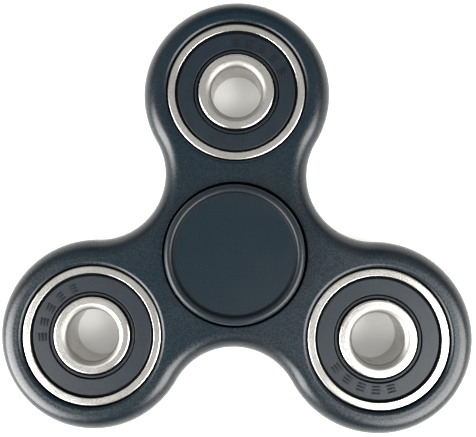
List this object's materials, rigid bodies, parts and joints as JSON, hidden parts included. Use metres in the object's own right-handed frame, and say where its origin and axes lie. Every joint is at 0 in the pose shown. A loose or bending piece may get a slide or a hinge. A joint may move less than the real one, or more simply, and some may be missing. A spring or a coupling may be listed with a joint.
{
  "type": "fidget spinner",
  "caption": "Three-lobed hand spinner: a moulded body with sealed ball bearings pressed in as weights, turning on a centre bearing between two dished finger caps.",
  "frame": {"origin": "on the spin axis, at the body's mid-plane, which is the object's centre of mass", "axes": "+Z along the spin axis, out of the front cap; +Y from the spin axis towards the top lobe; +X to the right when the front is seen"},
  "size_m": [0.0746, 0.0685, 0.011],
  "materials": {
    "body_plastic": "satin moulded",
    "cap_plastic": "semi-gloss moulded",
    "ring_steel": "finely ground",
    "ball_steel": "polished",
    "seal_rubber": "matt",
    "cage_nylon": "moulded"
  },
  "bodies": {
    "hub": {"front_cap": "cap_plastic", "rear_cap": "cap_plastic", "centre_inner_ring": "ring_steel"},
    "rotor": {"spinner_body": "body_plastic", "centre_outer_ring": "ring_steel", "top_outer_ring": "ring_steel", "left_outer_ring": "ring_steel", "right_outer_ring": "ring_steel", "top_front_seal": "seal_rubber", "top_rear_seal": "seal_rubber", "left_front_seal": "seal_rubber", "left_rear_seal": "seal_rubber", "right_front_seal": "seal_rubber", "right_rear_seal": "seal_rubber"},
    "centre_cage": {"centre_ball_cage": "cage_nylon"},
    "centre_ball_1": {"centre_ball_1": "ball_steel"},
    "centre_ball_2": {"centre_ball_2": "ball_steel"},
    "centre_ball_3": {"centre_ball_3": "ball_steel"},
    "centre_ball_4": {"centre_ball_4": "ball_steel"},
    "centre_ball_5": {"centre_ball_5": "ball_steel"},
    "centre_ball_6": {"centre_ball_6": "ball_steel"},
    "centre_ball_7": {"centre_ball_7": "ball_steel"},
    "top_inner": {"top_inner_ring": "ring_steel"},
    "top_cage": {"top_ball_cage": "cage_nylon"},
    "top_ball_1": {"top_ball_1": "ball_steel"},
    "top_ball_2": {"top_ball_2": "ball_steel"},
    "top_ball_3": {"top_ball_3": "ball_steel"},
    "top_ball_4": {"top_ball_4": "ball_steel"},
    "top_ball_5": {"top_ball_5": "ball_steel"},
    "top_ball_6": {"top_ball_6": "ball_steel"},
    "top_ball_7": {"top_ball_7": "ball_steel"},
    "left_inner": {"left_inner_ring": "ring_steel"},
    "left_cage": {"left_ball_cage": "cage_nylon"},
    "left_ball_1": {"left_ball_1": "ball_steel"},
    "left_ball_2": {"left_ball_2": "ball_steel"},
    "left_ball_3": {"left_ball_3": "ball_steel"},
    "left_ball_4": {"left_ball_4": "ball_steel"},
    "left_ball_5": {"left_ball_5": "ball_steel"},
    "left_ball_6": {"left_ball_6": "ball_steel"},
    "left_ball_7": {"left_ball_7": "ball_steel"},
    "right_inner": {"right_inner_ring": "ring_steel"},
    "right_cage": {"right_ball_cage": "cage_nylon"},
    "right_ball_1": {"right_ball_1": "ball_steel"},
    "right_ball_2": {"right_ball_2": "ball_steel"},
    "right_ball_3": {"right_ball_3": "ball_steel"},
    "right_ball_4": {"right_ball_4": "ball_steel"},
    "right_ball_5": {"right_ball_5": "ball_steel"},
    "right_ball_6": {"right_ball_6": "ball_steel"},
    "right_ball_7": {"right_ball_7": "ball_steel"}
  },
  "joints": [
    {"name": "rotor_spin", "type": "hinge", "parent": "hub", "child": "rotor", "pos_m": [0, 0, 0], "axis": [0, 0, 1], "continuous": true},
    {"name": "centre_cage_turn", "type": "hinge", "parent": "hub", "child": "centre_cage", "pos_m": [0, 0, 0], "axis": [0, 0, 1], "continuous": true},
    {"name": "centre_ball_1_spin", "type": "hinge", "parent": "centre_cage", "child": "centre_ball_1", "pos_m": [0.0075, 0, 0], "axis": [0, 0, 1], "continuous": true},
    {"name": "centre_ball_2_spin", "type": "hinge", "parent": "centre_cage", "child": "centre_ball_2", "pos_m": [0.00468, 0.00586, 0], "axis": [0, 0, 1], "continuous": true},
    {"name": "centre_ball_3_spin", "type": "hinge", "parent": "centre_cage", "child": "centre_ball_3", "pos_m": [-0.00167, 0.00731, 0], "axis": [0, 0, 1], "continuous": true},
    {"name": "centre_ball_4_spin", "type": "hinge", "parent": "centre_cage", "child": "centre_ball_4", "pos_m": [-0.00676, 0.00325, 0], "axis": [0, 0, 1], "continuous": true},
    {"name": "centre_ball_5_spin", "type": "hinge", "parent": "centre_cage", "child": "centre_ball_5", "pos_m": [-0.00676, -0.00325, 0], "axis": [0, 0, 1], "continuous": true},
    {"name": "centre_ball_6_spin", "type": "hinge", "parent": "centre_cage", "child": "centre_ball_6", "pos_m": [-0.00167, -0.00731, 0], "axis": [0, 0, 1], "continuous": true},
    {"name": "centre_ball_7_spin", "type": "hinge", "parent": "centre_cage", "child": "centre_ball_7", "pos_m": [0.00468, -0.00586, 0], "axis": [0, 0, 1], "continuous": true},
    {"name": "top_inner_spin", "type": "hinge", "parent": "rotor", "child": "top_inner", "pos_m": [0, 0.0257, 0], "axis": [0, 0, 1], "continuous": true},
    {"name": "top_cage_turn", "type": "hinge", "parent": "rotor", "child": "top_cage", "pos_m": [0, 0.0257, 0], "axis": [0, 0, 1], "continuous": true},
    {"name": "top_ball_1_spin", "type": "hinge", "parent": "top_cage", "child": "top_ball_1", "pos_m": [0.0075, 0.0257, 0], "axis": [0, 0, 1], "continuous": true},
    {"name": "top_ball_2_spin", "type": "hinge", "parent": "top_cage", "child": "top_ball_2", "pos_m": [0.00468, 0.03156, 0], "axis": [0, 0, 1], "continuous": true},
    {"name": "top_ball_3_spin", "type": "hinge", "parent": "top_cage", "child": "top_ball_3", "pos_m": [-0.00167, 0.03301, 0], "axis": [0, 0, 1], "continuous": true},
    {"name": "top_ball_4_spin", "type": "hinge", "parent": "top_cage", "child": "top_ball_4", "pos_m": [-0.00676, 0.02895, 0], "axis": [0, 0, 1], "continuous": true},
    {"name": "top_ball_5_spin", "type": "hinge", "parent": "top_cage", "child": "top_ball_5", "pos_m": [-0.00676, 0.02245, 0], "axis": [0, 0, 1], "continuous": true},
    {"name": "top_ball_6_spin", "type": "hinge", "parent": "top_cage", "child": "top_ball_6", "pos_m": [-0.00167, 0.01839, 0], "axis": [0, 0, 1], "continuous": true},
    {"name": "top_ball_7_spin", "type": "hinge", "parent": "top_cage", "child": "top_ball_7", "pos_m": [0.00468, 0.01984, 0], "axis": [0, 0, 1], "continuous": true},
    {"name": "left_inner_spin", "type": "hinge", "parent": "rotor", "child": "left_inner", "pos_m": [-0.02226, -0.01285, 0], "axis": [0, 0, 1], "continuous": true},
    {"name": "left_cage_turn", "type": "hinge", "parent": "rotor", "child": "left_cage", "pos_m": [-0.02226, -0.01285, 0], "axis": [0, 0, 1], "continuous": true},
    {"name": "left_ball_1_spin", "type": "hinge", "parent": "left_cage", "child": "left_ball_1", "pos_m": [-0.01476, -0.01285, 0], "axis": [0, 0, 1], "continuous": true},
    {"name": "left_ball_2_spin", "type": "hinge", "parent": "left_cage", "child": "left_ball_2", "pos_m": [-0.01758, -0.00699, 0], "axis": [0, 0, 1], "continuous": true},
    {"name": "left_ball_3_spin", "type": "hinge", "parent": "left_cage", "child": "left_ball_3", "pos_m": [-0.02393, -0.00554, 0], "axis": [0, 0, 1], "continuous": true},
    {"name": "left_ball_4_spin", "type": "hinge", "parent": "left_cage", "child": "left_ball_4", "pos_m": [-0.02901, -0.0096, 0], "axis": [0, 0, 1], "continuous": true},
    {"name": "left_ball_5_spin", "type": "hinge", "parent": "left_cage", "child": "left_ball_5", "pos_m": [-0.02901, -0.0161, 0], "axis": [0, 0, 1], "continuous": true},
    {"name": "left_ball_6_spin", "type": "hinge", "parent": "left_cage", "child": "left_ball_6", "pos_m": [-0.02393, -0.02016, 0], "axis": [0, 0, 1], "continuous": true},
    {"name": "left_ball_7_spin", "type": "hinge", "parent": "left_cage", "child": "left_ball_7", "pos_m": [-0.01758, -0.01871, 0], "axis": [0, 0, 1], "continuous": true},
    {"name": "right_inner_spin", "type": "hinge", "parent": "rotor", "child": "right_inner", "pos_m": [0.02226, -0.01285, 0], "axis": [0, 0, 1], "continuous": true},
    {"name": "right_cage_turn", "type": "hinge", "parent": "rotor", "child": "right_cage", "pos_m": [0.02226, -0.01285, 0], "axis": [0, 0, 1], "continuous": true},
    {"name": "right_ball_1_spin", "type": "hinge", "parent": "right_cage", "child": "right_ball_1", "pos_m": [0.02976, -0.01285, 0], "axis": [0, 0, 1], "continuous": true},
    {"name": "right_ball_2_spin", "type": "hinge", "parent": "right_cage", "child": "right_ball_2", "pos_m": [0.02693, -0.00699, 0], "axis": [0, 0, 1], "continuous": true},
    {"name": "right_ball_3_spin", "type": "hinge", "parent": "right_cage", "child": "right_ball_3", "pos_m": [0.02059, -0.00554, 0], "axis": [0, 0, 1], "continuous": true},
    {"name": "right_ball_4_spin", "type": "hinge", "parent": "right_cage", "child": "right_ball_4", "pos_m": [0.0155, -0.0096, 0], "axis": [0, 0, 1], "continuous": true},
    {"name": "right_ball_5_spin", "type": "hinge", "parent": "right_cage", "child": "right_ball_5", "pos_m": [0.0155, -0.0161, 0], "axis": [0, 0, 1], "continuous": true},
    {"name": "right_ball_6_spin", "type": "hinge", "parent": "right_cage", "child": "right_ball_6", "pos_m": [0.02059, -0.02016, 0], "axis": [0, 0, 1], "continuous": true},
    {"name": "right_ball_7_spin", "type": "hinge", "parent": "right_cage", "child": "right_ball_7", "pos_m": [0.02693, -0.01871, 0], "axis": [0, 0, 1], "continuous": true}
  ],
  "couplings": [
    {"joint": "centre_cage_turn", "follows": "rotor_spin", "ratio": 0.63233},
    {"joint": "centre_ball_1_spin", "follows": "rotor_spin", "ratio": 1.7568},
    {"joint": "centre_ball_2_spin", "follows": "rotor_spin", "ratio": 1.7568},
    {"joint": "centre_ball_3_spin", "follows": "rotor_spin", "ratio": 1.7568},
    {"joint": "centre_ball_4_spin", "follows": "rotor_spin", "ratio": 1.7568},
    {"joint": "centre_ball_5_spin", "follows": "rotor_spin", "ratio": 1.7568},
    {"joint": "centre_ball_6_spin", "follows": "rotor_spin", "ratio": 1.7568},
    {"joint": "centre_ball_7_spin", "follows": "rotor_spin", "ratio": 1.7568},
    {"joint": "top_cage_turn", "follows": "top_inner_spin", "ratio": 0.36767},
    {"joint": "top_ball_1_spin", "follows": "top_inner_spin", "ratio": -1.7568},
    {"joint": "top_ball_2_spin", "follows": "top_inner_spin", "ratio": -1.7568},
    {"joint": "top_ball_3_spin", "follows": "top_inner_spin", "ratio": -1.7568},
    {"joint": "top_ball_4_spin", "follows": "top_inner_spin", "ratio": -1.7568},
    {"joint": "top_ball_5_spin", "follows": "top_inner_spin", "ratio": -1.7568},
    {"joint": "top_ball_6_spin", "follows": "top_inner_spin", "ratio": -1.7568},
    {"joint": "top_ball_7_spin", "follows": "top_inner_spin", "ratio": -1.7568},
    {"joint": "left_cage_turn", "follows": "left_inner_spin", "ratio": 0.36767},
    {"joint": "left_ball_1_spin", "follows": "left_inner_spin", "ratio": -1.7568},
    {"joint": "left_ball_2_spin", "follows": "left_inner_spin", "ratio": -1.7568},
    {"joint": "left_ball_3_spin", "follows": "left_inner_spin", "ratio": -1.7568},
    {"joint": "left_ball_4_spin", "follows": "left_inner_spin", "ratio": -1.7568},
    {"joint": "left_ball_5_spin", "follows": "left_inner_spin", "ratio": -1.7568},
    {"joint": "left_ball_6_spin", "follows": "left_inner_spin", "ratio": -1.7568},
    {"joint": "left_ball_7_spin", "follows": "left_inner_spin", "ratio": -1.7568},
    {"joint": "right_cage_turn", "follows": "right_inner_spin", "ratio": 0.36767},
    {"joint": "right_ball_1_spin", "follows": "right_inner_spin", "ratio": -1.7568},
    {"joint": "right_ball_2_spin", "follows": "right_inner_spin", "ratio": -1.7568},
    {"joint": "right_ball_3_spin", "follows": "right_inner_spin", "ratio": -1.7568},
    {"joint": "right_ball_4_spin", "follows": "right_inner_spin", "ratio": -1.7568},
    {"joint": "right_ball_5_spin", "follows": "right_inner_spin", "ratio": -1.7568},
    {"joint": "right_ball_6_spin", "follows": "right_inner_spin", "ratio": -1.7568},
    {"joint": "right_ball_7_spin", "follows": "right_inner_spin", "ratio": -1.7568}
  ]
}
